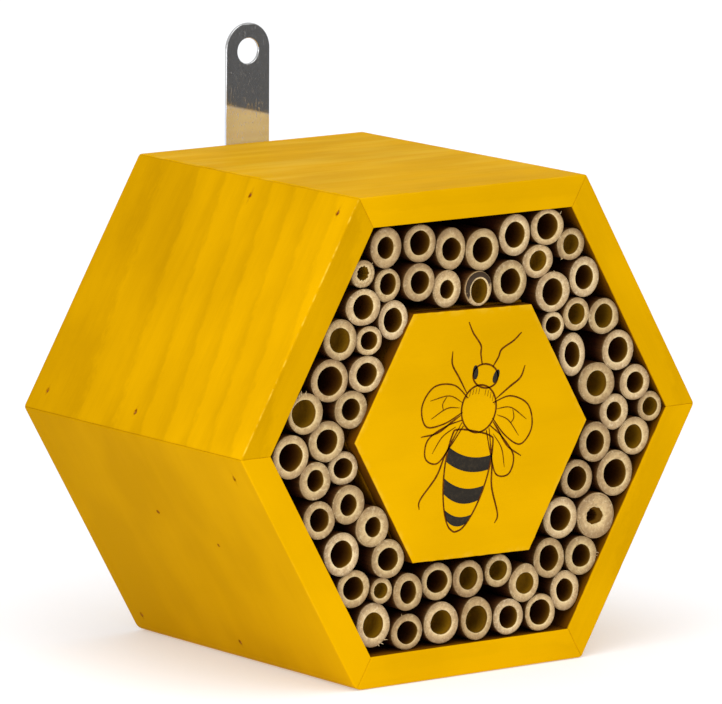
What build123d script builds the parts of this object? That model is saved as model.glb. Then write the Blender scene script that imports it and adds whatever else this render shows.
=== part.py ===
from build123d import *
import math
import os

# Hexagonal insect hotel that hangs on a wall. Millimetres, +X to the right of a viewer in front,
# +Y from the viewer towards the wall, +Z up. The origin is on the ground plane under the middle
# of the whole object, strip included.

# Frame of six boards
HEX_SIDE = 100.0
DEPTH = 131.0
BOARD_T = 11.0
CORNER_R = 1.8
WORN_CORNER_R = 5.0
WORN_CORNER = 4
EDGE_R = 1.0

# Back board, let in between the six boards and flush with their rear edges
BACK_T = 9.0

# Hexagonal box in the middle: a front panel on six mitred boards
CENTRE_R = 51.0
CENTRE_DROP = 0.5
CENTRE_TURN = -0.6
PANEL_T = 6.0
CENTRE_BOARD_T = 8.0
PANEL_EDGE_R = 0.6

# Flat steel hanging strip on the rear face, screwed on a little to the left of the middle
STRIP_X = -2.0
STRIP_W = 19.2
STRIP_T = 1.2
STRIP_RISE = 43.6
STRIP_LENGTH = 75.0
STRIP_EDGE_R = 0.3
HANG_HOLE_R = 4.6
HANG_HOLE_BELOW_TOP = 10.2

# Countersunk screws that hold the strip
SCREW_R = 1.5
SCREW_HEAD_R = 2.8
SCREW_LENGTH = 8.0
SCREW_DROPS = (5.5, 23.0)
CROSS_LENGTH = 3.0
CROSS_WIDTH = 0.6
CROSS_DEPTH = 0.9

# Headless brads through the mitred corners
BRAD_R = 0.6
BRAD_LENGTH = 20.0
BRAD_SUNK = 0.4

# Bamboo tubes, glued to the back board and to each other
TUBE_GAP = 0.12
NODE_WALL = 2.5

# Places worked out from the sizes above
APOTHEM = HEX_SIDE * math.cos(math.radians(30))
INNER_APOTHEM = APOTHEM - BOARD_T
INNER_R = INNER_APOTHEM / math.cos(math.radians(30))
MID_Z = APOTHEM
TOP_Z = 2 * APOTHEM
FRONT_Y = -(DEPTH + STRIP_T) / 2
REAR_Y = FRONT_Y + DEPTH
TUBE_REAR_Y = REAR_Y - BACK_T
CENTRE_Z = MID_Z - CENTRE_DROP
CENTRE_APOTHEM = CENTRE_R * math.cos(math.radians(30))

# Corners of the frame are numbered anticlockwise from the right-hand one, seen from the front,
# and board number n runs from corner n to corner n + 1.
BOARD_NAMES = (
    "upper_right_board",
    "top_board",
    "upper_left_board",
    "lower_left_board",
    "bottom_board",
    "lower_right_board",
)

# Brads: (board they enter, end of that board, distance from the corner, places along the depth).
# The end is 0 at the board's lower-numbered corner and 1 at the other one.
BRAD_ROWS = (
    (2, 0, 7.0, (0.55, 0.94)),
    (2, 1, 8.0, (0.07, 0.48)),
    (3, 0, 10.0, (0.92,)),
    (3, 1, 8.5, (0.06, 0.52)),
    (0, 1, 6.5, (0.07, 0.50, 0.93)),
    (0, 0, 7.5, (0.06, 0.52, 0.94)),
    (5, 0, 8.0, (0.07, 0.47, 0.93)),
)

# Each tube: middle across and up from the frame's middle, outer width and height, bore width and
# height, how far the front end lies behind the frame's front, and the depth of a closed node
# inside it, or 0 where the bore runs through. They are listed in zigzags round the ring.
TUBES = (
    # along the top board
    (-37.0, 68.0, 13.0, 14.0, 7.0, 7.5, 1.5, 0),
    (-36.0, 54.5, 11.0, 11.5, 7.0, 7.5, 2.0, 0),
    (-21.5, 68.0, 13.5, 13.0, 8.5, 8.5, 2.5, 0),
    (-22.5, 54.5, 13.5, 13.0, 8.0, 8.0, 1.5, 0),
    (-8.0, 65.0, 12.5, 14.5, 8.0, 8.0, 2.5, 0),
    (-10.0, 51.0, 12.0, 13.0, 6.0, 6.5, 2.0, 0),
    (5.5, 63.5, 14.0, 14.5, 8.5, 9.0, 2.0, 0),
    (3.5, 50.0, 12.0, 12.0, 7.5, 8.5, 1.5, 9),
    (19.5, 67.5, 13.0, 14.5, 8.5, 9.0, 1.5, 0),
    (17.5, 51.0, 14.0, 15.0, 8.5, 9.0, 1.5, 0),
    (34.0, 69.0, 14.0, 12.5, 9.0, 9.0, 1.5, 0),
    (30.0, 57.0, 13.0, 11.5, 7.5, 7.0, 1.5, 7),
    # along the upper right board
    (45.0, 62.5, 12.0, 11.0, 7.0, 7.0, 1.5, 6),
    (36.5, 46.0, 15.0, 14.0, 9.0, 9.5, 1.5, 0),
    (51.0, 50.0, 13.0, 14.0, 8.0, 8.5, 1.5, 0),
    (37.5, 33.5, 9.5, 10.0, 6.5, 6.0, 2.0, 0),
    (60.5, 36.5, 13.0, 12.5, 8.0, 8.5, 1.5, 12),
    (48.0, 36.5, 11.5, 11.5, 7.5, 7.5, 1.5, 11),
    (67.0, 22.5, 14.0, 14.0, 9.0, 9.0, 1.5, 0),
    (46.0, 22.5, 11.0, 15.0, 6.5, 9.0, 2.0, 0),
    (74.5, 10.0, 13.0, 12.5, 7.5, 7.5, 1.5, 0),
    (57.0, 11.5, 15.5, 14.5, 8.5, 9.0, 1.5, 10),
    (81.5, 1.0, 10.0, 10.5, 6.5, 6.5, 1.5, 9),
    (64.5, 0.0, 12.0, 12.5, 6.5, 7.0, 1.5, 0),
    # along the lower right board
    (74.0, -9.5, 14.0, 13.0, 8.0, 8.5, 1.5, 12),
    (56.5, -9.5, 13.5, 14.0, 8.0, 8.5, 1.5, 0),
    (65.5, -22.0, 15.5, 16.0, 10.0, 10.0, 1.5, 0),
    (49.0, -22.5, 13.5, 13.5, 8.5, 8.5, 2.5, 0),
    (57.0, -36.5, 16.0, 16.0, 6.5, 5.5, 1.5, 0),
    (41.0, -35.5, 14.5, 14.5, 9.0, 9.0, 1.5, 0),
    (51.0, -50.5, 13.5, 13.5, 8.0, 8.0, 1.5, 0),
    (36.0, -49.5, 13.5, 14.0, 8.5, 9.0, 1.5, 0),
    (43.5, -62.0, 12.5, 14.0, 7.5, 8.0, 2.0, 0),
    # along the bottom board
    (32.5, -68.5, 13.0, 13.0, 9.0, 9.0, 1.5, 0),
    (25.0, -57.0, 13.0, 13.5, 8.0, 7.5, 1.5, 5),
    (18.0, -68.5, 13.0, 12.5, 8.0, 8.0, 1.5, 0),
    (13.5, -51.5, 11.5, 11.5, 8.0, 7.0, 1.5, 8),
    (4.0, -67.5, 13.5, 15.0, 9.5, 9.5, 1.5, 10),
    (0.5, -53.0, 13.0, 13.0, 8.0, 8.0, 2.0, 9),
    (-11.0, -67.5, 14.5, 14.5, 9.0, 8.5, 2.5, 11),
    (-13.0, -52.5, 13.0, 13.0, 9.0, 8.0, 2.5, 0),
    (-26.0, -69.0, 13.5, 12.5, 9.0, 8.0, 2.5, 0),
    (-26.5, -54.5, 12.5, 13.0, 7.0, 8.0, 1.5, 0),
    (-40.5, -65.0, 14.0, 15.5, 8.5, 9.0, 3.0, 8),
    (-37.5, -52.5, 9.0, 9.0, 6.0, 5.5, 2.0, 6),
    # along the lower left board
    (-49.5, -51.0, 14.0, 13.0, 9.0, 8.0, 2.5, 0),
    (-35.0, -41.5, 13.5, 13.5, 8.5, 8.0, 1.5, 0),
    (-55.5, -38.0, 14.5, 15.0, 9.0, 9.5, 1.5, 0),
    (-42.0, -29.0, 13.5, 14.0, 6.5, 7.0, 1.5, 0),
    (-65.0, -25.0, 13.0, 13.0, 8.0, 8.0, 1.5, 0),
    (-52.5, -20.5, 13.5, 13.5, 7.0, 7.5, 1.5, 0),
    (-67.0, -11.0, 13.0, 13.0, 7.0, 7.5, 1.5, 0),
    (-53.5, -7.5, 12.5, 11.5, 8.0, 7.0, 3.5, 0),
    # along the upper left board
    (-77.5, -1.5, 15.0, 15.0, 10.0, 9.5, 1.5, 0),
    (-62.0, 2.5, 15.0, 14.0, 9.0, 8.5, 2.0, 0),
    (-72.0, 13.0, 14.5, 14.0, 10.0, 9.5, 1.5, 8),
    (-51.5, 12.5, 14.0, 13.0, 8.0, 7.5, 1.5, 0),
    (-61.0, 23.5, 15.5, 14.5, 10.5, 10.0, 1.5, 0),
    (-44.5, 24.0, 15.0, 12.5, 9.0, 8.0, 1.5, 0),
    (-56.5, 37.5, 13.5, 14.0, 8.5, 8.5, 1.5, 7),
    (-44.0, 36.0, 11.0, 10.0, 7.0, 6.5, 1.5, 0),
    (-46.5, 48.0, 14.5, 12.5, 8.5, 8.5, 1.5, 0),
    (-33.0, 42.0, 12.5, 13.5, 8.0, 8.5, 1.5, 0),
    (-46.5, 59.5, 10.0, 9.5, 5.0, 5.0, 2.0, 10),
)


def polar(radius, degrees):
    """A point (x, z) at a distance and an angle from +X towards +Z."""
    angle = math.radians(degrees)
    return radius * math.cos(angle), radius * math.sin(angle)


def corners(radius, turn=0.0):
    """The six corners of a flat-topped hexagon, anticlockwise from the right-hand one."""
    return [polar(radius, 60 * n + turn) for n in range(6)]


def prism(outline, y_front, y_rear, across=0.0, up=MID_Z):
    """A solid with an outline of (x, z) points about (across, up), between two depths."""
    points = [(across + x, y_front, up + z) for x, z in outline]
    face = make_face(Polyline(*points, close=True))
    return extrude(face, amount=y_rear - y_front, dir=(0, 1, 0))


def wedge(number, turn=0.0, up=MID_Z):
    """The sixth of space that holds board number n: its two flat sides are the mitre planes."""
    reach = 2 * HEX_SIDE
    outline = [(0, 0), polar(reach, 60 * number + turn), polar(reach, 60 * number + 60 + turn)]
    return prism(outline, -DEPTH, DEPTH, up=up)


def elliptic_rod(across, up, width, height, y_front, y_rear):
    """A straight rod of elliptical section that runs along Y."""
    plane = Plane(origin=(across, y_front, up), x_dir=(1, 0, 0), z_dir=(0, 1, 0))
    return extrude(plane * Ellipse(width / 2, height / 2), amount=y_rear - y_front)


def rod(start, direction, radius, length):
    """A round rod from a point along a direction."""
    return extrude(Plane(origin=start, z_dir=direction) * Circle(radius), amount=length)


def frame_ring():
    """All six boards as one ring, with rounded corners and eased front edges."""
    ring = prism(corners(HEX_SIDE), FRONT_Y, REAR_Y) - prism(corners(INNER_R), FRONT_Y, REAR_Y)
    for number, (x, z) in enumerate(corners(HEX_SIDE)):
        long_edges = ring.edges().filter_by(Axis.Y)
        edge = long_edges.sort_by_distance((x, FRONT_Y + DEPTH / 2, MID_Z + z))[0]
        ring = fillet(edge, WORN_CORNER_R if number == WORN_CORNER else CORNER_R)
    front_face = ring.faces().sort_by(Axis.Y)[0]
    return fillet(front_face.outer_wire().edges(), EDGE_R)


def brad_line(board, end, distance, place):
    """Where a brad starts on a board's outer face, and the way it goes into the next board."""
    corner = corners(HEX_SIDE)[(board + end) % 6]
    far_corner = corners(HEX_SIDE)[(board + 1 - end) % 6]
    start = [c + (f - c) * distance / HEX_SIDE for c, f in zip(corner, far_corner)]
    next_corner = corners(HEX_SIDE)[(board + (2 if end else -1)) % 6]
    way = [(n - c) / HEX_SIDE for c, n in zip(corner, next_corner)]
    depth = REAR_Y - DEPTH * place
    return (start[0], depth, MID_Z + start[1]), (way[0], 0, way[1])


def all_brads():
    """Every brad's line."""
    return [
        brad_line(board, end, distance, place)
        for board, end, distance, places in BRAD_ROWS
        for place in places
    ]


def frame_boards():
    """The six mitred boards, with their brad holes and the screw hole in the top one."""
    ring = frame_ring()
    for start, way in all_brads():
        outside = [s - w for s, w in zip(start, way)]
        ring -= rod(outside, way, BRAD_R, BRAD_LENGTH + BRAD_SUNK + 1)
    ring -= screw_hole(SCREW_DROPS[0])
    return {name: ring & wedge(number) for number, name in enumerate(BOARD_NAMES)}


def frame_brads():
    """The brads that pin the mitres, each a little below the face it was driven through."""
    rods = []
    for start, way in all_brads():
        sunk = [s + w * BRAD_SUNK for s, w in zip(start, way)]
        rods.append(rod(sunk, way, BRAD_R, BRAD_LENGTH))
    return Compound(children=rods)


def screw_hole(drop):
    """The hole of one strip screw, for taking out of the wood."""
    return rod((STRIP_X, REAR_Y, TOP_Z - drop), (0, -1, 0), SCREW_R, SCREW_LENGTH)


def back_board():
    """The hexagonal board that closes the rear."""
    board = prism(corners(INNER_R), TUBE_REAR_Y, REAR_Y)
    return board - screw_hole(SCREW_DROPS[1])


def centre_panel():
    """The plain front of the middle box, flush with the frame's front edges."""
    outline = corners(CENTRE_R, CENTRE_TURN)
    panel = prism(outline, FRONT_Y, FRONT_Y + PANEL_T, up=CENTRE_Z)
    front_face = panel.faces().sort_by(Axis.Y)[0]
    return fillet(front_face.edges(), PANEL_EDGE_R)


def centre_boards():
    """The six mitred boards of the middle box, between its panel and the back board."""
    inner_r = CENTRE_R - CENTRE_BOARD_T / math.cos(math.radians(30))
    y_front = FRONT_Y + PANEL_T
    ring = prism(corners(CENTRE_R, CENTRE_TURN), y_front, TUBE_REAR_Y, up=CENTRE_Z)
    ring -= prism(corners(inner_r, CENTRE_TURN), y_front, TUBE_REAR_Y, up=CENTRE_Z)
    boards = {}
    for number, name in enumerate(BOARD_NAMES):
        boards["centre_" + name] = ring & wedge(number, CENTRE_TURN, CENTRE_Z)
    return boards


def hanger_strip():
    """The steel strip with its round top, hanging hole and two countersunk holes."""
    top = TOP_Z + STRIP_RISE
    left, right = STRIP_X - STRIP_W / 2, STRIP_X + STRIP_W / 2
    foot = top - STRIP_LENGTH
    shoulder = top - STRIP_W / 2
    outline = [
        Line((left, REAR_Y, foot), (right, REAR_Y, foot)),
        Line((right, REAR_Y, foot), (right, REAR_Y, shoulder)),
        ThreePointArc((right, REAR_Y, shoulder), (STRIP_X, REAR_Y, top), (left, REAR_Y, shoulder)),
        Line((left, REAR_Y, shoulder), (left, REAR_Y, foot)),
    ]
    strip = extrude(make_face(outline), amount=STRIP_T, dir=(0, 1, 0))
    strip = fillet(strip.faces().sort_by(Axis.Y)[0].edges(), STRIP_EDGE_R)
    hole_z = top - HANG_HOLE_BELOW_TOP
    strip -= rod((STRIP_X, REAR_Y - 1, hole_z), (0, 1, 0), HANG_HOLE_R, STRIP_T + 2)
    for drop in SCREW_DROPS:
        strip -= screw_head(drop)
    return strip


def screw_head(drop):
    """The cone of a countersunk head, flush with the strip's rear face."""
    profile = [
        (STRIP_X, REAR_Y, TOP_Z - drop),
        (STRIP_X + SCREW_R, REAR_Y, TOP_Z - drop),
        (STRIP_X + SCREW_HEAD_R, REAR_Y + STRIP_T, TOP_Z - drop),
        (STRIP_X, REAR_Y + STRIP_T, TOP_Z - drop),
    ]
    face = make_face(Polyline(*profile, close=True))
    return revolve(face, axis=Axis((STRIP_X, 0, TOP_Z - drop), (0, 1, 0)))


def hanger_screws():
    """The two screws that hold the strip, with a cross recess in each head."""
    screws = []
    for drop in SCREW_DROPS:
        screw = screw_head(drop) + screw_hole(drop)
        recess_y = REAR_Y + STRIP_T - CROSS_DEPTH / 2
        for size in ((CROSS_LENGTH, CROSS_WIDTH), (CROSS_WIDTH, CROSS_LENGTH)):
            slot = Box(size[0], CROSS_DEPTH, size[1])
            screw -= Pos(STRIP_X, recess_y, TOP_Z - drop) * slot
        screws.append(screw)
    return Compound(children=screws)


def reach(tube, way):
    """How far an elliptical tube reaches from its middle in a direction."""
    return math.hypot(tube[2] / 2 * way[0], tube[3] / 2 * way[1])


def pushes(places):
    """The moves that take each tube out of its neighbours, the frame and the middle box."""
    moves = [[0.0, 0.0] for _ in TUBES]
    sides = [polar(1.0, 60 * n + 30) for n in range(6)]
    centre_sides = [polar(1.0, 60 * n + 30 + CENTRE_TURN) for n in range(6)]
    for i, tube in enumerate(TUBES):
        x, z = places[i]
        for way in sides:
            over = x * way[0] + z * way[1] + reach(tube, way) + TUBE_GAP - INNER_APOTHEM
            if over > 0:
                moves[i][0] -= way[0] * over
                moves[i][1] -= way[1] * over
        rooms = [
            (x * way[0] + (z + CENTRE_DROP) * way[1] - reach(tube, way) - CENTRE_APOTHEM, way)
            for way in centre_sides
        ]
        room, way = max(rooms)
        if room < TUBE_GAP:
            moves[i][0] += way[0] * (TUBE_GAP - room)
            moves[i][1] += way[1] * (TUBE_GAP - room)
        for j in range(i + 1, len(TUBES)):
            gap_x = places[j][0] - x
            gap_z = places[j][1] - z
            apart = math.hypot(gap_x, gap_z)
            way = (gap_x / apart, gap_z / apart)
            over = reach(tube, way) + reach(TUBES[j], way) + TUBE_GAP - apart
            if over > 0:
                for axis in (0, 1):
                    moves[i][axis] -= way[axis] * over / 2
                    moves[j][axis] += way[axis] * over / 2
    return moves


def settled_places():
    """The tubes' middles after they have pushed each other apart, as they do when packed in."""
    places = [list(tube[:2]) for tube in TUBES]
    for _ in range(400):
        moves = pushes(places)
        for place, move in zip(places, moves):
            place[0] += 0.5 * move[0]
            place[1] += 0.5 * move[1]
    left = max(math.hypot(*move) for move in pushes(places))
    print("tubes still pushing by", round(left, 3), "mm; gap set", TUBE_GAP)
    return places


def bamboo_tube(tube, place):
    """One tube: an elliptical stem with its bore, and the closed node where it has one."""
    width, height, bore_w, bore_h, recess, node = tube[2:]
    x, z = place[0], MID_Z + place[1]
    y_front = FRONT_Y + recess
    stem = elliptic_rod(x, z, width, height, y_front, TUBE_REAR_Y)
    if node == 0:
        return stem - elliptic_rod(x, z, bore_w, bore_h, y_front - 1, TUBE_REAR_Y + 1)
    stem -= elliptic_rod(x, z, bore_w, bore_h, y_front - 1, y_front + node)
    return stem - elliptic_rod(x, z, bore_w, bore_h, y_front + node + NODE_WALL, TUBE_REAR_Y + 1)


def bamboo_pairs():
    """The tubes, two neighbours to a node."""
    places = settled_places()
    tubes = [bamboo_tube(tube, place) for tube, place in zip(TUBES, places)]
    pairs = {}
    for first in range(0, len(tubes), 2):
        name = "bamboo_tubes_%02d" % (first // 2 + 1)
        pairs[name] = Compound(children=tubes[first:first + 2])
    return pairs


def all_nodes():
    """Every node of the hotel by name."""
    nodes = frame_boards()
    nodes["back_board"] = back_board()
    nodes["frame_brads"] = frame_brads()
    nodes["centre_panel"] = centre_panel()
    nodes.update(centre_boards())
    nodes["hanger_strip"] = hanger_strip()
    nodes["hanger_screws"] = hanger_screws()
    nodes.update(bamboo_pairs())
    return nodes


os.makedirs("parts", exist_ok=True)
for node_name, shape in all_nodes().items():
    export_step(shape, "parts/" + node_name + ".step")
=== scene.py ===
import bmesh
import bpy
import math
import numpy as np
from collections import namedtuple
from mathutils import Matrix, Vector, noise


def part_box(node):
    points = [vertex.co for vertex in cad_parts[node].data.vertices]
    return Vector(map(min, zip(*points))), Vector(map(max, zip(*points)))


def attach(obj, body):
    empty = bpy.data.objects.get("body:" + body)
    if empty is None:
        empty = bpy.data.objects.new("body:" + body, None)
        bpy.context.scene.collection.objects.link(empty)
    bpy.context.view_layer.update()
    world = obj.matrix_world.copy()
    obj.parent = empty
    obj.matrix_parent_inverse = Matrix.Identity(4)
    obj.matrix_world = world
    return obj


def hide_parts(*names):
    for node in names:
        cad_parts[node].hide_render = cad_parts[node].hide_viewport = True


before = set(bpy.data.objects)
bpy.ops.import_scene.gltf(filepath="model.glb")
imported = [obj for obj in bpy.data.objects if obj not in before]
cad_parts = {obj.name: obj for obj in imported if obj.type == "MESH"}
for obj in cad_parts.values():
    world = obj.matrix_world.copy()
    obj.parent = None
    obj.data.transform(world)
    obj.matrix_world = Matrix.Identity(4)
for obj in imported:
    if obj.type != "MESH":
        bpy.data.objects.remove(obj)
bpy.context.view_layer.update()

# The looks of a hexagonal insect hotel, in metres, in the CAD frame: +X to the right of a viewer
# in front, +Y towards the wall, +Z up. Sizes that the eye judges are given in millimetres.
MM = 0.001
COS_30 = math.cos(math.radians(30))
SLOPE = math.tan(math.radians(30))
HEXAGON = np.radians(60 * np.arange(7))
ROUND = np.linspace(0, 2 * math.pi, 64, False)

# Places that the CAD gives
TOP_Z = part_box("top_board")[1].z
MID_Z = TOP_Z / 2
SIDE = MID_Z / COS_30
FRONT_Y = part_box("top_board")[0].y
REAR_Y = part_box("top_board")[1].y
BACK_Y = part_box("back_board")[0].y
INNER_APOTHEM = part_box("back_board")[1].z - MID_Z
BOARD_T = MID_Z - INNER_APOTHEM
PANEL_LOW, PANEL_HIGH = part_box("centre_panel")
PANEL_R = (PANEL_HIGH.x - PANEL_LOW.x) / 2
PANEL_MID_Z = (PANEL_LOW.z + PANEL_HIGH.z) / 2
PANEL_REAR_Y = PANEL_HIGH.y
STRIP_LOW, STRIP_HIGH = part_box("hanger_strip")
STRIP_X = (STRIP_LOW.x + STRIP_HIGH.x) / 2

# The middle box is turned a little and sawn a little off true: how far each corner of its panel
# lies off, across and up, in millimetres
PANEL_TURN = math.radians(-0.6)
PANEL_NUDGES = ((0.1, 0.0), (-0.1, -0.8), (-0.9, 0.0), (-0.2, 0.9), (0.3, 0.2), (0.9, -0.3))
PANEL_EDGE_R = 0.5 * MM
CENTRE_BOARD_T = 8 * MM
CENTRE_CORNER_R = 0.4 * MM
PANEL_GAP = 0.05 * MM

# Boards of the frame, from the right-hand corner anticlockwise, seen from the front
BOARD_NAMES = (
    "upper_right_board", "top_board", "upper_left_board",
    "lower_left_board", "bottom_board", "lower_right_board",
)
CORNER_R = 1.8 * MM
WORN_CORNER_R = 5 * MM
WORN_CORNER = 4
FRONT_EDGE_R = 0.6 * MM
FRONT_INNER_EDGE_R = 0.35 * MM
REAR_EDGE_R = 0.4 * MM
MITRE_EASE = 0.13 * MM

# The wood of a board: how far apart its growth rings are, in millimetres, how far across the board
# and how far below its face the heart of the tree lies, how much the heart drifts along the board,
# how strongly the rings show, how much painted shade darkens it at the front end and at the rear
# end (more towards the rear, and more on boards turned from the light), how much darker or, below
# 0, lighter it is painted on the front edge itself, how worn the corner of that edge is, partly a
# painted highlight, and, for a panel, how much darker it is towards the top
Wood = namedtuple(
    "Wood", "spacing across below drift figure front rear edge wear top", defaults=(0.0, 0.0, 0.0)
)
FRAME_WOOD = (
    Wood(9.0, 50.0, 55.0, 0.10, 0.40, 0.10, 0.30, 0.00, 0.30),
    Wood(8.0, -20.0, 60.0, 0.04, 0.20, 0.05, 0.20, 0.00, 0.10),
    Wood(11.0, 66.0, 60.0, -0.17, 0.55, 0.05, 0.53, 0.33, 0.60),
    Wood(16.0, -10.0, 90.0, -0.12, 0.10, 0.36, 0.86, -0.40, 0.08),
    Wood(9.0, 10.0, 50.0, 0.08, 0.30, -0.05, 0.20, -0.08, 0.20),
    Wood(10.0, 50.0, 45.0, -0.10, 0.40, 0.10, 0.30, 0.00, 0.30),
)
CENTRE_WOOD = Wood(6.0, 20.0, 50.0, 0.05, 0.40, 0.20, 0.20, 0.00, 0.20)
BACK_WOOD = Wood(9.0, 120.0, 70.0, 0.10, 0.40, 0.10, 0.10)
PANEL_WOOD = Wood(9.0, 70.0, 90.0, 0.10, 0.12, 0.02, 0.02, top=0.32)
# How strongly painted sheen, pale streaks that stand in for a reflection, shows on the top board
TOP_BOARD_PAINTED_SHEEN = 0.3

# Small knots: board number, distance from the board's middle along it, place along the depth
# from the front, and strength, which may pass 1, because the mark's own patches weaken it
PIN_KNOTS = (
    (3, -14.0, 74.0, 6.0),
    (3, -5.0, 44.0, 2.0),
)


# --- Meshes ---

def polar(radius, angle):
    """A point (x, z) at a distance and an angle in radians from +X towards +Z, or several."""
    return np.stack((radius * np.cos(angle), radius * np.sin(angle)), axis=-1)


def left_of(way):
    """A direction turned a quarter to the left, or several."""
    return np.stack((-way[..., 1], way[..., 0]), axis=-1)


def upright(flat, depths):
    """Points (x, y, z) from places (x, z) and how far back they are."""
    return np.insert(flat, 1, depths, axis=1)


def smoothstep(low, high, value):
    """0 below low, 1 above high, smooth between."""
    share = np.clip((value - low) / (high - low), 0, 1)
    return share * share * (3 - 2 * share)


def fade(low, high, value):
    """1 below low, 0 above high, smooth between."""
    return 1 - smoothstep(low, high, value)


def noise_at(points, scale, seed=0.0):
    """Smooth noise, about -1 to 1, at each row of points, with one scale or one for each axis."""
    scaled = np.asarray(points, float) * np.asarray(scale, float)
    places = np.zeros((len(scaled), 3))
    places[:, :scaled.shape[1]] = scaled
    return np.array([noise.noise(Vector(place)) for place in places + seed])


def clean(mesh, weld=0.0):
    """Welds vertices closer than a distance, and makes the faces smooth and all outwards."""
    shape = bmesh.new()
    shape.from_mesh(mesh)
    if weld:
        bmesh.ops.remove_doubles(shape, verts=shape.verts, dist=weld)
    bmesh.ops.recalc_face_normals(shape, faces=shape.faces)
    shape.to_mesh(mesh)
    shape.free()
    mesh.polygons.foreach_set("use_smooth", [True] * len(mesh.polygons))


def make_mesh(name, points, faces):
    """A mesh with its faces all outwards."""
    mesh = bpy.data.meshes.new(name)
    mesh.from_pydata([tuple(point) for point in points], [], faces)
    clean(mesh)
    return mesh


def push_out(mesh, amounts):
    """Moves each vertex along its normal."""
    points, normals = np.zeros((2, 3 * len(mesh.vertices)))
    mesh.vertices.foreach_get("co", points)
    mesh.vertex_normals.foreach_get("vector", normals)
    mesh.vertices.foreach_set("co", points + normals * np.repeat(amounts, 3))
    mesh.update()


def write_values(mesh, **named):
    """Stores arrays on a mesh's vertices, for its material to read."""
    for name, values in named.items():
        values = np.asarray(values, np.float32)
        kind, field = ("FLOAT", "value") if values.ndim == 1 else ("FLOAT_VECTOR", "vector")
        layer = mesh.attributes.new(name, kind, "POINT")
        layer.data.foreach_set(field, values.ravel())


def add_object(name, data):
    """A new object in the scene."""
    added = bpy.data.objects.new(name, data)
    bpy.context.scene.collection.objects.link(added)
    return added


def add_piece(mesh, material, replaced=()):
    """Puts a mesh in the scene as a piece of the object."""
    piece = add_object(mesh.name, mesh)
    mesh.materials.append(material)
    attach(piece, "root")
    if replaced:
        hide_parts(*replaced)
    return piece


def between(first, second, count, closed=True):
    """Quads between two lines of points side by side, each given by its first point's number."""
    quads = []
    for n in range(count if closed else count - 1):
        after = (n + 1) % count
        quads.append([first + n, first + after, second + after, second + n])
    return quads


def joined(parts):
    """Several (points, faces, values) as one."""
    offset = 0
    faces = []
    for points, part_faces, _ in parts:
        faces += [[number + offset for number in face] for face in part_faces]
        offset += len(points)
    points, _, values = zip(*parts)
    return np.concatenate(points), faces, np.concatenate(values)


def block(cells):
    """The surface of a block of lattice cells: its vertices' lattice places, and its quads."""
    numbers = {}
    quads = []
    for axis in range(3):
        first, second = [other for other in range(3) if other != axis]
        for side in (0, cells[axis]):
            for p in range(cells[first]):
                for q in range(cells[second]):
                    quad = []
                    for step_p, step_q in ((0, 0), (1, 0), (1, 1), (0, 1)):
                        place = [side] * 3
                        place[first] = p + step_p
                        place[second] = q + step_q
                        quad.append(numbers.setdefault(tuple(place), len(numbers)))
                    quads.append(quad)
    return np.array(list(numbers)), quads


def lines(low, high, spacing, near_low=(), near_high=(), marks=(), mark_steps=()):
    """Lattice lines from low to high: close ones near the ends and marks, even ones between."""
    found = {low, high, *marks}
    found.update(low + step for step in near_low)
    found.update(high - step for step in near_high)
    for mark in marks:
        found.update(mark + side * step for step in mark_steps for side in (-1, 1))
    start = low + max(near_low, default=0.0)
    end = high - max(near_high, default=0.0)
    count = max(1, round((end - start) / spacing))
    even = [start + (end - start) * n / count for n in range(count + 1)]
    close = max(mark_steps, default=0.0) + spacing / 3
    found.update(y for y in even if all(abs(y - mark) > close for mark in marks))
    kept = [low]
    for y in sorted(y for y in found if low < y <= high):
        if y - kept[-1] > 0.02 * MM:
            kept.append(y)
    return np.array(kept)


# --- Materials ---

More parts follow.
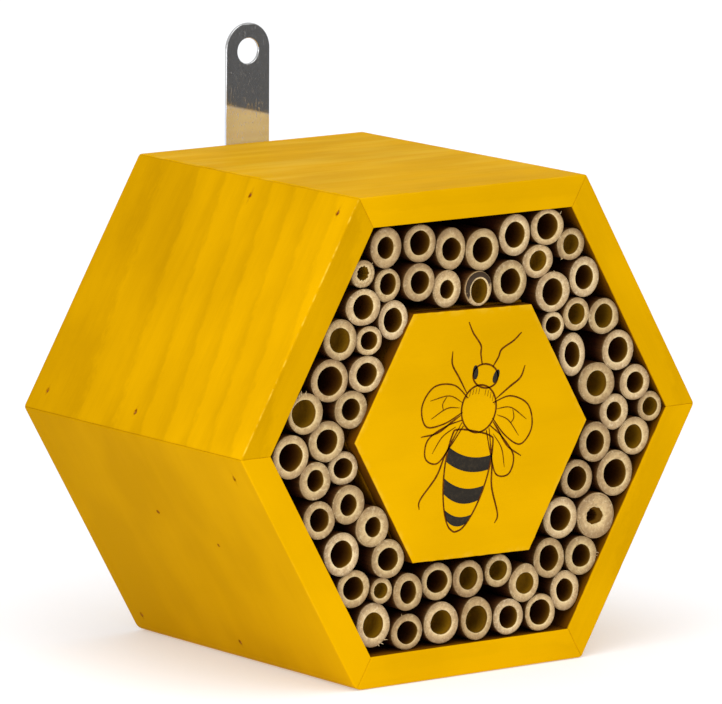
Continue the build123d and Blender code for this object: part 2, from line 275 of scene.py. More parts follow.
class Nodes:
    """Builds a material out of Blender's own nodes. Its noise is laid out in object space, or by a
    vector stored on the mesh."""

    def __init__(self, name, stored=None):
        self.material = bpy.data.materials.new(name)
        self.material.use_nodes = True
        self.tree = self.material.node_tree
        self.tree.nodes.clear()
        output = self.tree.nodes.new("ShaderNodeOutputMaterial")
        self.shader = self.tree.nodes.new("ShaderNodeBsdfPrincipled")
        self.tree.links.new(self.shader.outputs["BSDF"], output.inputs["Surface"])
        if stored:
            self.where = self.add("Attribute", attribute_name=stored).outputs["Vector"]
        else:
            self.where = self.add("TexCoord").outputs["Object"]

    def put(self, socket, value):
        """Links an output to a socket, or sets the socket to a number, vector or (r, g, b)."""
        if isinstance(value, bpy.types.NodeSocket):
            self.tree.links.new(value, socket)
        elif socket.type == "RGBA":
            socket.default_value = (*value, 1.0)
        else:
            socket.default_value = value

    def add(self, kind, inputs=(), **settings):
        """A node with its settings, and its inputs by name or number."""
        node = self.tree.nodes.new("ShaderNode" + kind)
        for key, value in settings.items():
            setattr(node, key, value)
        for key, value in dict(inputs).items():
            self.put(node.inputs[key], value)
        return node

    def value(self, name):
        """A number stored on the mesh."""
        return self.add("Attribute", attribute_name=name).outputs["Fac"]

    def math(self, operation, *values):
        """One step of arithmetic."""
        return self.add("Math", enumerate(values), operation=operation).outputs[0]

    def blend(self, value, factor, rest):
        """A value times a factor, plus the rest."""
        return self.math("MULTIPLY_ADD", value, factor, rest)

    def noise(self, scale, detail=2.0, roughness=0.5):
        """Noise from 0 to 1, with one scale or one for each axis."""
        where = self.where
        if isinstance(scale, tuple):
            where = self.add("VectorMath", {0: where, 1: scale}, operation="MULTIPLY").outputs[0]
            scale = 1.0
        inputs = {"Vector": where, "Scale": scale, "Detail": detail, "Roughness": roughness}
        return self.add("TexNoise", inputs).outputs["Fac"]

    def remap(self, value, low, high, to_low=0.0, to_high=1.0):
        """A range stretched onto another, clamped and smooth."""
        inputs = enumerate((value, low, high, to_low, to_high))
        return self.add("MapRange", inputs, interpolation_type="SMOOTHSTEP").outputs[0]

    def mix(self, factor, first, second, blend_type="MIX"):
        """Two colours mixed."""
        inputs = {0: factor, 6: first, 7: second}
        return self.add("Mix", inputs, data_type="RGBA", blend_type=blend_type).outputs[2]

    def ramp(self, factor, *stops):
        """A colour ramp with its stops as (place, red, green, blue)."""
        node = self.add("ValToRGB", {"Fac": factor})
        elements = node.color_ramp.elements
        while len(elements) < len(stops):
            elements.new(0.5)
        for element, (place, *colour) in zip(elements, stops):
            element.position = place
            element.color = (*colour, 1.0)
        return node.outputs["Color"]

    def bump(self, height, strength, distance):
        """A bump that feeds the shader's normal."""
        inputs = {"Height": height, "Strength": strength, "Distance": distance}
        self.put(self.shader.inputs["Normal"], self.add("Bump", inputs).outputs["Normal"])

    def finish(self, colour, roughness, **constants):
        """Feeds the shader its colour and roughness, and sets its other sockets."""
        self.put(self.shader.inputs["Base Color"], colour)
        self.put(self.shader.inputs["Roughness"], roughness)
        for key, value in constants.items():
            self.shader.inputs[key.replace("_", " ")].default_value = value
        return self.material


def stained_wood(name, light, dark):
    """Softwood under a satin yellow stain, with its rings, fibres, blotches and nail marks, and with
    painted shade, painted sheen streaks and a partly painted highlight on worn edges.
    """
    nodes = Nodes(name, "grain")
    phase = nodes.blend(nodes.noise((0.16, 0.30, 0.30), 4.0, 0.65), 0.55, nodes.value("rings"))
    greys = ((0.00, 0.75), (0.14, 0.05), (0.50, 0.10), (0.80, 0.45), (1.00, 0.75))
    ring = nodes.ramp(nodes.math("FRACT", phase), *((place, *[grey] * 3) for place, grey in greys))
    fibre = nodes.noise((0.05, 2.6, 2.6), 4.0, 0.6)
    streak = nodes.noise((0.010, 0.30, 0.30), 3.0)
    blotch = nodes.noise((0.022, 0.035, 0.035))
    figure = nodes.value("figure")
    shade = nodes.math("MULTIPLY", ring, nodes.math("MULTIPLY", figure, 0.55))
    # The tone adds painted shade: darker towards the rear, on boards turned from the light, and darker
    # or lighter on the front edge
    shade = nodes.math("ADD", shade, nodes.value("tone"))
    strong = nodes.blend(figure, 0.10, 0.012)
    for patches, low, high, share in (
        (fibre, 0.35, 0.75, strong), (streak, 0.35, 0.70, strong), (blotch, 0.30, 0.70, 0.25),
    ):
        shade = nodes.blend(nodes.remap(patches, low, high), share, shade)
    body = nodes.mix(shade, light, dark)
    # Wear on the front edge, partly real and partly a painted highlight on the lit upper-left board
    rubbed_and_highlit = nodes.remap(nodes.noise(0.25, 3.0), 0.42, 0.66)
    body = nodes.mix(nodes.math("MULTIPLY", rubbed_and_highlit, nodes.value("wear")), body, (0.95, 0.62, 0.06))
    # Painted sheen: pale streaks stand in for the satin stain's reflection
    body = nodes.mix(nodes.value("pale"), body, (0.82, 0.57, 0.07))
    mark = nodes.remap(nodes.noise((0.9, 2.6, 2.6), 3.0), 0.35, 0.60, 0.15, 1.0)
    body = nodes.mix(nodes.math("MULTIPLY", mark, nodes.value("mark")), body, (0.20, 0.045, 0.003))
    # Painted shade: a brown that turns near black with depth, on the boards' inner and hidden faces
    painted_shade_colour = nodes.ramp(
        nodes.math("MULTIPLY", nodes.value("depth"), 0.05),
        (0.0, 0.150, 0.050, 0.001),
        (0.4, 0.095, 0.024, 0.002),
        (1.0, 0.045, 0.008, 0.002),
    )
    body = nodes.mix(nodes.value("gloom"), body, painted_shade_colour)
    gloss = nodes.blend(streak, 0.16, nodes.blend(fibre, 0.18, 0.26))
    nodes.bump(nodes.blend(ring, 0.35, fibre), 0.30, 0.00006)
    return nodes.finish(body, gloss, Specular_IOR_Level=0.003)


def bamboo():
    """Cut bamboo: a pale sawn end with dotted fibres, and a bore and skin darkened by painted shade."""
    nodes = Nodes("bamboo")
    wall, inside, outside = (nodes.value(name) for name in ("wall", "inside", "outside"))
    end = nodes.ramp(
        nodes.blend(nodes.noise(420.0), 0.10, nodes.math("SUBTRACT", wall, 0.05)),
        (0.00, 0.86, 0.69, 0.38),
        (0.10, 0.84, 0.66, 0.37),
        (0.22, 0.73, 0.54, 0.30),
        (0.55, 0.62, 0.45, 0.245),
        (0.80, 0.53, 0.385, 0.21),
        (0.875, 0.22, 0.135, 0.070),
        (0.92, 0.55, 0.41, 0.23),
        (1.00, 0.30, 0.20, 0.09),
    )
    cells = nodes.add("TexVoronoi", {"Vector": nodes.where, "Scale": 1900.0}).outputs["Distance"]
    dots = nodes.math("LESS_THAN", cells, nodes.remap(wall, 0.15, 0.95, 0.22, 0.50))
    end = nodes.mix(nodes.math("MULTIPLY", dots, 0.30), end, (0.24, 0.15, 0.07))
    blot = nodes.noise(300.0, 5.0, 0.75)
    end = nodes.mix(nodes.remap(blot, 0.46, 0.62, 0.0, 0.65), end, (0.44, 0.29, 0.15))
    patch = nodes.remap(nodes.noise(130.0, 4.0, 0.6), 0.45, 0.60, 0.0, 0.85)
    patch = nodes.math("MULTIPLY", patch, nodes.remap(wall, 0.25, 0.85))
    end = nodes.mix(patch, end, (0.36, 0.24, 0.13))
    pale = nodes.remap(nodes.noise(800.0, 4.0, 0.7), 0.50, 0.70, 0.0, 0.45)
    end = nodes.mix(pale, end, (0.92, 0.76, 0.50))
    # Painted shade: the bore darkens with depth from its mouth
    deep = nodes.ramp(
        nodes.math("MULTIPLY", inside, 0.05),
        (0.000, 0.600, 0.430, 0.160),
        (0.012, 0.280, 0.150, 0.025),
        (0.045, 0.140, 0.062, 0.002),
        (0.160, 0.095, 0.033, 0.001),
        (0.600, 0.055, 0.010, 0.001),
    )
    # Painted shade: the skin darkens with depth behind the sawn end, into the gaps between tubes
    skin = nodes.ramp(
        nodes.math("MULTIPLY", outside, 0.05),
        (0.00, 0.320, 0.200, 0.090),
        (0.02, 0.130, 0.065, 0.020),
        (0.07, 0.085, 0.029, 0.006),
        (0.25, 0.045, 0.010, 0.003),
        (1.00, 0.018, 0.003, 0.001),
    )
    fibres = nodes.remap(nodes.noise((1500.0, 60.0, 1500.0), 3.0), 0.40, 0.70, 0.0, 0.4)
    skin = nodes.mix(fibres, skin, (0.02, 0.01, 0.004))
    body = nodes.mix(nodes.math("GREATER_THAN", outside, 0.01), end, skin)
    body = nodes.mix(nodes.math("GREATER_THAN", inside, 0.01), body, deep)
    body = nodes.mix(nodes.value("web"), body, (0.27, 0.14, 0.004))
    tint = nodes.ramp(
        nodes.value("tone"),
        (0.00, 1.00, 1.00, 1.00),
        (0.35, 0.96, 0.92, 0.84),
        (0.65, 0.84, 0.81, 0.71),
        (1.00, 0.72, 0.66, 0.58),
    )
    body = nodes.mix(1.0, body, tint, "MULTIPLY")
    soot = nodes.blend(nodes.noise(420.0, 5.0, 0.7), 1.3, nodes.value("soot"))
    charred = nodes.mix(blot, (0.004, 0.002, 0.001), (0.060, 0.034, 0.022))
    body = nodes.mix(nodes.remap(soot, 1.02, 1.22, 0.0, 0.95), body, charred)
    rough = nodes.noise(1800.0, 3.0)
    nodes.bump(nodes.blend(dots, -0.5, rough), 0.45, 0.00014)
    return nodes.finish(body, nodes.blend(rough, 0.2, 0.62), Specular_IOR_Level=0.08)


def print_ink():
    """Matt dark ink that has sunk a little into the wood: brown in lines, black in bands."""
    nodes = Nodes("print_ink")
    patchy = nodes.noise(900.0, 4.0)
    patches = nodes.remap(patchy, 0.45, 0.75)
    thin_line = nodes.mix(patches, (0.105, 0.026, 0.001), (0.22, 0.070, 0.002))
    band = nodes.mix(patches, (0.030, 0.025, 0.019), (0.046, 0.036, 0.024))
    nodes.bump(patchy, 0.2, 0.00005)
    body = nodes.mix(nodes.value("band"), thin_line, band)
    return nodes.finish(body, nodes.blend(patchy, 0.2, 0.5), Specular_IOR_Level=0.03)


def polished_steel():
    """Bright rolled steel with fine scratches and scuffs, and a painted reflection low on its front
    face: paler and less metallic there.
    """
    nodes = Nodes("polished_steel")
    split = nodes.add("SeparateXYZ", {"Vector": nodes.where}).outputs
    # Painted reflection: the lower front face is paler and less metallic
    painted_reflection = nodes.remap(nodes.blend(split["X"], 0.24, split["Z"]), TOP_Z + 12.2 * MM, TOP_Z + 11.2 * MM)
    painted_reflection = nodes.math("MULTIPLY", painted_reflection, nodes.math("LESS_THAN", split["Y"], REAR_Y + 0.6 * MM))
    scratch = nodes.remap(nodes.noise((900.0, 900.0, 90.0), 3.0), 0.50, 0.75)
    scuff = nodes.remap(nodes.noise((1500.0, 1500.0, 600.0), 3.0, 0.7), 0.55, 0.72)
    film = nodes.noise(70.0, 3.0)
    body = nodes.mix(painted_reflection, (0.60, 0.60, 0.60), (0.735, 0.80, 0.97))
    body = nodes.mix(nodes.remap(film, 0.35, 0.70, 0.0, 0.25), body, (0.50, 0.50, 0.50))
    metal = nodes.blend(scuff, -0.08, nodes.blend(painted_reflection, -0.20, 0.96))
    nodes.put(nodes.shader.inputs["Metallic"], metal)
    nodes.bump(film, 0.10, 0.0002)
    return nodes.finish(body, nodes.blend(scuff, 0.17, nodes.blend(scratch, 0.03, 0.055)))


def zinc_steel():
    """Zinc-plated screws, slightly blotched."""
    nodes = Nodes("zinc_steel")
    blot = nodes.noise(900.0, 4.0)
    body = nodes.mix(nodes.remap(blot, 0.4, 0.7), (0.58, 0.57, 0.53), (0.36, 0.35, 0.31))
    nodes.bump(blot, 0.15, 0.00005)
    return nodes.finish(body, nodes.blend(blot, 0.25, 0.24), Metallic=1.0)


def rusty_brad():
    """The dulled, rusty end of a brad."""
    nodes = Nodes("rusty_brad")
    rust = nodes.noise(2500.0, 4.0)
    body = nodes.mix(nodes.remap(rust, 0.35, 0.65), (0.42, 0.12, 0.020), (0.20, 0.055, 0.015))
    nodes.bump(rust, 0.4, 0.0001)
    return nodes.finish(body, nodes.blend(rust, 0.2, 0.60), Specular_IOR_Level=0.1)


# --- Wooden parts ---

def ring_count(points, wood):
    """How many growth rings lie between the heart and each point (along, across, inwards)."""
    along, across, inwards = points.T
    wave = 2.2 * noise_at(points, (0.018, 0.012, 0.012), wood.across)
    wave += 0.5 * noise_at(points, (0.09, 0.05, 0.05), wood.below)
    sideways = across - wood.across - wood.drift * along + wave
    return np.hypot(sideways, inwards + wood.below) / wood.spacing


def ease(first, second, radius):
    """Two distances from the faces at an edge, moved onto a round of that radius."""
    near = (first < radius) & (second < radius)
    away_first = first - radius
    away_second = second - radius
    length = np.hypot(away_first, away_second)
    length[length == 0] = 1
    first = np.where(near, radius + away_first * radius / length, first)
    second = np.where(near, radius + away_second * radius / length, second)
    return first, second


def corner_round(run, radius):
    """How a hexagon's rounded corner moves points at a distance from the mitre along the outside:
    their new distance from the mitre plane, and how far in they go."""
    tangent = radius * SLOPE
    angle = math.radians(30) * np.clip(1 - run / tangent, 0, 1)
    inwards = radius * (1 - np.cos(angle))
    moved = np.where(run < tangent, tangent - radius * np.sin(angle), run)
    return moved - inwards * SLOPE, inwards


def write_wood(mesh, grain, count, wood, seed, **values):
    """Stores what a stained wood reads."""
    figure = np.full(len(grain), wood.figure)
    write_values(mesh, grain=grain + 37.0 * seed, rings=count + seed, figure=figure, **values)


EDGE_STEPS = tuple(step * MM for step in (0.15, 0.3, 0.5, 0.75, 1.0, 1.5, 2.2))
END_STEPS = tuple(step * MM for step in (0.22, 0.6, 1.1, 1.73, 2.9))
PIT_STEPS = tuple(step * MM for step in (0.15, 0.3, 0.45, 0.62, 0.85, 1.3))
PIT_DEPTH = 0.46 * MM
PIT_R = 0.5 * MM


def board_mesh(name, ends, thickness, y_front, y_rear, radii, wood, seed, gloom, pits=(), knots=(),
               painted_sheen=0.0):
    """A mitred board between two outer corners (x, z), with rounded corners and eased edges.
    Pits are where brads were driven through the outer face, as (along, y) from its middle. Knots
    are marks on that face, as (along, depth, strength) in millimetres. painted_sheen is how
    strongly pale streaks of painted sheen show on it."""
    start, end = ends
    half = np.linalg.norm(end - start) / 2
    way = (end - start) / (2 * half)
    length = y_rear - y_front
    dots = list(pits) + [(knot[0] * MM, y_front + knot[1] * MM) for knot in knots]
    marks, depth_marks = (sorted({round(dot[n], 6) for dot in dots}) for n in (0, 1))
    line_a = lines(-half, half, 2.6 * MM, END_STEPS, END_STEPS, marks, PIT_STEPS)
    line_b = lines(0, thickness, 1.3 * MM, EDGE_STEPS[:5], EDGE_STEPS[:3])
    line_c = lines(y_front, y_rear, 1.2 * MM, EDGE_STEPS, EDGE_STEPS[:4], depth_marks, PIT_STEPS)
    places, quads = block((len(line_a) - 1, len(line_b) - 1, len(line_c) - 1))
    column, row, layer = places.T
    along = line_a[column]
    depth = line_c[layer] - y_front
    on_face = row == 0
    at_mitre = (column == 0) | (column == column.max())

    # The rounded corners, then the four eased edges
    run, sunk = corner_round(half - np.abs(along), np.where(along < 0, *radii))
    room = thickness - sunk
    outer = line_b[row] * room / thickness
    outer = outer + MITRE_EASE * at_mitre * (1.0 * on_face - (row == row.max()))
    depth = depth + MITRE_EASE * at_mitre * (1.0 * (layer == 0) - (layer == layer.max()))
    outer, depth = ease(outer, depth, FRONT_EDGE_R)
    inner, depth = ease(room - outer, depth, FRONT_INNER_EDGE_R)
    outer, rest = ease(room - inner, length - depth, REAR_EDGE_R)
    inner, rest = ease(room - outer, rest, REAR_EDGE_R)
    deep = sunk + (room - inner)
    depth = length - rest
    along = np.sign(along) * (half - deep * SLOPE) * (1 - run / half)
    flat = (start + end) / 2 + way * along[:, None] + left_of(way) * deep[:, None]
    mesh = make_mesh(name, upright(flat + (0, MID_Z), y_front + depth), quads)

    # The relief of the surface: warp, saw marks, growth rings and a nicked front edge
    grain = np.stack((along, depth, deep), axis=1) / MM
    along_mm, depth_mm, deep_mm = grain.T
    count = ring_count(grain - (0, length / MM / 2, 0), wood)
    front_edge = fade(0.15, 0.55, depth_mm) * fade(0.15, 0.55, deep_mm)
    relief = 0.10 * noise_at(grain, 0.016, seed)
    relief += 0.030 * noise_at(grain, (0.03, 0.14, 0.14), seed + 5)
    relief += 0.018 * wood.figure * np.cos(2 * np.pi * count)
    relief -= 0.06 * front_edge * smoothstep(0.15, 0.6, noise_at(grain, 0.22, seed))
    relief *= smoothstep(0.0, 1.2, run / MM)

    # Brad pits, seams and knots
    mark = np.zeros(len(grain))
    for number, (pit_along, pit_y) in enumerate(pits):
        ragged = 1 + 0.22 * noise_at(grain, 1.1, number + seed)
        distance = np.hypot((along - pit_along) / 1.5, y_front + depth - pit_y) * ragged / PIT_R
        relief -= on_face * PIT_DEPTH / MM * fade(0.75, 1.35, distance)
        relief += on_face * 0.05 * np.exp(-((distance - 1.5) / 0.3) ** 2)
        mark = np.maximum(mark, on_face * fade(0.9, 2.2, distance))
    seam = 0.2 + 0.45 * smoothstep(-0.3, 0.5, noise_at(grain, 0.12, seed + 9))
    mark = np.maximum(mark, seam * at_mitre * (on_face | (layer == 0)))
    for knot_along, knot_depth, strength in knots:
        distance = np.hypot(along_mm - knot_along, depth_mm - knot_depth)
        mark = np.maximum(mark, on_face * strength * fade(0.35, 0.95, distance))
    push_out(mesh, relief * MM)

    # Painted sheen, wear with a partly painted highlight, and painted shade
    ragged = depth_mm + 0.25 * noise_at(grain, (0.30, 0.5, 0.5), seed + 2)
    # Painted sheen streaks, for the top board
    streaks = noise_at(grain, (0.024, 0.14, 0.14), seed + 4)
    streaks += 0.4 * noise_at(grain, (0.05, 0.4, 0.4), seed)
    pale = painted_sheen * on_face * smoothstep(-0.2, 0.8, streaks) * smoothstep(-10.0, 60.0, depth_mm)
    # Painted shade: darker towards the rear; the front edge is painted darker or lighter
    tone = wood.front + (wood.rear - wood.front) * np.sqrt(np.clip(depth / length, 0, 1))
    tone += wood.edge * fade(0.1, 0.6, depth_mm)
    write_wood(mesh, grain, count, wood, seed, tone=tone, mark=mark, wear=wood.wear * front_edge,
               pale=pale, gloom=gloom(deep / thickness, ragged), depth=depth_mm)
    return mesh


def inner_gloom(through, depth_mm):
    """How much painted shade darkens a frame board: only its inner face, away from the front."""
    return 0.97 * smoothstep(0.85, 1.0, through) * smoothstep(0.3, 0.9, depth_mm)


def outer_gloom(through, depth_mm):
    """The same for a board of the middle box: its outer face, from just behind the panel."""
    return fade(0.0, 0.5, through) * (0.90 + 0.09 * smoothstep(0.0, 8.0, depth_mm))


def solids_of(node):
    """The corner points of each separate solid in a CAD node, one array for each."""
    shape = bmesh.new()
    shape.from_mesh(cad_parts[node].data)
    bmesh.ops.remove_doubles(shape, verts=shape.verts, dist=0.001 * MM)
    seen = set()
    solids = []
    for first in shape.verts:
        if first in seen:
            continue
        seen.add(first)
        group = [first]
        for vertex in group:
            for edge in vertex.link_edges:
                other = edge.other_vert(vertex)
                if other not in seen:
                    seen.add(other)
                    group.append(other)
        solids.append(np.array([vertex.co[:] for vertex in group]))
    shape.free()
    return solids


def brad_pits():
    """Where the brads were driven in: for each board, places (along, y) on its outer face."""
    pits = [[] for _ in BOARD_NAMES]
    normals = polar(1.0, HEXAGON[:6] + math.radians(30))
    for points in solids_of("frame_brads"):
        points = points - (0, 0, MID_Z)
        heights = normals @ points[:, (0, 2)].T
        number = int(np.argmax(heights.max(axis=1)))
        at_head = heights[number] > heights[number].max() - 0.7 * MM
        x, y, z = points[at_head].mean(axis=0)
        pits[number].append((float(left_of(normals[number]) @ (x, z)), float(y)))
    return pits


def frame_boards(material):
    """The six boards of the frame."""
    pits = brad_pits()
    corners = polar(SIDE, HEXAGON)
    for number, name in enumerate(BOARD_NAMES):
        radii = [WORN_CORNER_R if n % 6 == WORN_CORNER else CORNER_R for n in (number, number + 1)]
        knots = [knot[1:] for knot in PIN_KNOTS if knot[0] == number]
        mesh = board_mesh(
            name + "_wood", corners[number:number + 2], BOARD_T, FRONT_Y, REAR_Y, radii,
            FRAME_WOOD[number], 1.7 + 3.1 * number, inner_gloom, pits[number], knots,
            TOP_BOARD_PAINTED_SHEEN if name == "top_board" else 0.0,
        )
        add_piece(mesh, material, [name])


def centre_boards(material):
    """The six boards of the middle box, behind its panel."""
    corners = polar(PANEL_R, PANEL_TURN + HEXAGON) + (0, PANEL_MID_Z - MID_Z)
    for number, board in enumerate(BOARD_NAMES):
        name = "centre_" + board
        mesh = board_mesh(
            name + "_wood", corners[number:number + 2], CENTRE_BOARD_T, PANEL_REAR_Y + PANEL_GAP,
            BACK_Y, [CENTRE_CORNER_R] * 2, CENTRE_WOOD._replace(across=20.0 + 9.0 * number),
            31.3 + 2.3 * number, outer_gloom,
        )
        add_piece(mesh, material, [name])


def plate_mesh(name, corners, y_front, y_rear, edge_r, spacing, wood, seed, gloom=0.0):
    """A hexagonal plate given by its corners (x, z) from the right-hand one, anticlockwise."""
    right, top_right, top_left, left, bottom_left, bottom_right = corners
    width = np.linalg.norm(left - right)
    height = width * COS_30 / 2
    close = tuple(step * edge_r for step in (0.15, 0.35, 0.6, 1.0, 1.8))
    line_a = lines(0.0, width, spacing, close, close) / width
    upper = lines(0.0, height, spacing, (), close) / height
    line_b = np.concatenate((-upper[:0:-1], upper))
    line_c = lines(0.0, y_rear - y_front, 1.0 * MM, close, close)
    places, quads = block((len(line_a) - 1, len(line_b) - 1, len(line_c) - 1))
    share = line_a[places[:, 0]][:, None]
    up = line_b[places[:, 1]][:, None]
    depth = line_c[places[:, 2]]
    middle = left + (right - left) * share
    top = top_left + (top_right - top_left) * share
    bottom = bottom_left + (bottom_right - bottom_left) * share
    flat = middle + (top - middle) * np.clip(up, 0, 1) + (bottom - middle) * np.clip(-up, 0, 1)

    # The eased edges, for which points move towards the plate's middle
    sides = np.roll(corners, -1, axis=0) - corners
    sides /= np.linalg.norm(sides, axis=1)[:, None]
    nearest = np.min([(flat - start) @ left_of(side) for start, side in zip(corners, sides)], axis=0)
    moved, new_face = ease(nearest, np.minimum(depth, line_c[-1] - depth), edge_r)
    centre = np.mean(corners, axis=0)
    away = flat - centre
    shrink = 1 - (moved - nearest) / np.maximum(np.linalg.norm(away, axis=1), MM)
    flat = centre + away * shrink[:, None]
    depth = np.where(depth < line_c[-1] / 2, new_face, line_c[-1] - new_face)
    mesh = make_mesh(name, upright(flat + (0, MID_Z), y_front + depth), quads)

    # The relief of the surface, and what its wood reads
    grain = np.column_stack((flat, depth)) / MM
    depth_mm = grain[:, 2]
    nearest_mm = nearest / MM
    count = ring_count(grain, wood)
    near_edge = fade(0.0, 2.0, nearest_mm)
    relief = 0.05 * noise_at(grain, 0.03, seed)
    relief += 0.14 * near_edge * noise_at(grain, 0.35, seed + 3)
    relief += 0.008 * np.cos(2 * np.pi * count)
    push_out(mesh, relief * MM)
    zero = np.zeros(len(grain))
    wear = 0.2 * near_edge * fade(0.3, 1.5, depth_mm)
    # Painted shade on the plate's sides, just behind its front face
    shade = gloom * fade(0.0, 0.3, nearest_mm) * smoothstep(0.05, 0.5, depth_mm)
    tone = wood.front + wood.top * smoothstep(-0.2, 1.0, (flat[:, 1] - centre[1]) / height)
    # A plate's sides take the painted shade colour that a board has 6 mm further back
    write_wood(mesh, grain, count, wood, seed, tone=tone, mark=zero, wear=wear, pale=zero,
               gloom=shade, depth=depth_mm + 6)
    return mesh


def back_board(material):
    """The board that closes the rear."""
    corners = polar(INNER_APOTHEM / COS_30, HEXAGON[:6])
    mesh = plate_mesh("back_board_wood", corners, BACK_Y, REAR_Y, REAR_EDGE_R, 2.6 * MM, BACK_WOOD, 51.7)
    add_piece(mesh, material, ["back_board"])


def centre_panel(material):
    """The sawn front panel of the middle box."""
    corners = polar(PANEL_R, PANEL_TURN + HEXAGON[:6]) + (0, PANEL_MID_Z - MID_Z)
    mesh = plate_mesh(
        "centre_panel_wood", corners + np.array(PANEL_NUDGES) * MM, FRONT_Y, PANEL_REAR_Y,
        PANEL_EDGE_R, 1.6 * MM, PANEL_WOOD, 71.9, 0.95,
    )
    add_piece(mesh, material, ["centre_panel"])


# --- Bamboo tubes ---

SEGMENTS = 72
BORE_STEPS = (0.12, 0.3, 0.6, 1.0, 1.6, 2.5, 4.0, 6.0, 9.0, 14.0, 24.0, 45.0, 80.0)
RIM_SHARES = (0.0, 0.03, 0.07, 0.13, 0.21, 0.30, 0.40, 0.50, 0.60, 0.69, 0.77, 0.84, 0.89, 0.93,
              0.97, 1.0)
SKIN_STEPS = (0.3, 0.8, 1.6, 3.0, 5.0, 9.0, 16.0, 28.0, 50.0, 80.0)
EDGE_ROUND = 0.45
WEB_SHARES = (0.25, 0.5, 0.75, 0.92)
FAR_BACK = 100.0
CANE_VALUES = ("wall", "inside", "outside", "web", "tone", "soot")

# Tubes that aren't plain ovals. Each is found by its place, in millimetres across and up from the
# frame's middle. A bump is (place, angle in degrees, rise as a share of the radius, half-width in
# degrees); a flat is a bump that sinks.
BUMPS = (
    ((30.0, 57.0), -45, -0.07, 28),
    ((45.0, 62.5), 222, 0.06, 13),
    ((60.5, 36.5), -25, 0.09, 16),
    ((67.0, 22.5), -50, 0.05, 20),
    ((25.0, -57.0), 130, -0.07, 28),
    ((-26.5, -54.5), -45, 0.05, 18),
    ((-44.5, 24.0), 0, 0.06, 16),
    ((-44.0, 36.0), 0, -0.05, 25),
    ((48.0, 36.5), 150, -0.04, 25),
    ((-35.0, -41.5), -50, 0.03, 30),
)
# Bores that lie off the middle of their tube: place, shift across, shift up, turn in degrees
BORE_SHIFTS = (
    ((30.0, 57.0), 0.0, 0.2, 25),
    ((-37.5, -52.5), -0.4, 0.1, 0),
    ((-72.0, 13.0), -0.7, 0.1, 0),
    ((25.0, -57.0), 0.4, -0.2, 0),
    ((-8.0, 65.0), 0.3, -0.3, 0),
    ((46.0, 22.5), 0.0, 0.0, 8),
    ((3.5, 50.0), 0.45, -0.9, 0),
)
# Stains: place, angle in degrees, half-width in degrees, strength
STAINS = (
    ((3.5, 50.0), 108, 97, 1.0),
)
# Splinters: place, then for each its angle on the rim in degrees, length and the lean of the fibre
# in degrees
SPLINTERS = (
    ((-72.0, 13.0), (118, 2.6, 60), (104, 2.0, 100), (128, 1.6, 20), (92, 1.5, 70)),
    ((45.0, 62.5), (236, 1.6, 210), (226, 1.2, 250)),
    ((51.0, -50.5), (4, 2.6, -15), (-8, 1.4, 10)),
    ((34.0, 69.0), (38, 1.8, 60)),
    ((-40.5, -65.0), (-62, 1.8, -30), (-50, 2.2, -5), (-72, 1.2, -50)),
    ((-26.0, -69.0), (112, 1.3, 95)),
    ((36.5, 46.0), (84, 1.2, 120)),
    ((-46.5, 59.5), (40, 0.9, 80)),
)
RAGGED_CANE = (-46.5, 59.5)
NEARLY_CLOSED_CANE = (57.0, -36.5)
FOUND_WITHIN = 3.0


def turn_gap(angles, degrees):
    """How far each angle is from a direction, in degrees."""
    return np.abs((np.degrees(angles) - degrees + 180) % 360 - 180)


def wavy(angles, random, strength):
    """A factor about 1 that waves slowly round a closed outline."""
    waves = np.ones(len(angles))
    for order, share in ((2, 0.5), (3, 0.8), (4, 0.4), (5, 0.4), (7, 0.2)):
        height = strength * share * random.normal()
        waves += height * np.cos(order * angles + random.uniform(0, 2 * math.pi))
    return waves


def turned(points, degrees):
    """Points (across, up) turned anticlockwise about their origin."""
    way = polar(1.0, math.radians(degrees))
    return points @ np.array((way, left_of(way)))


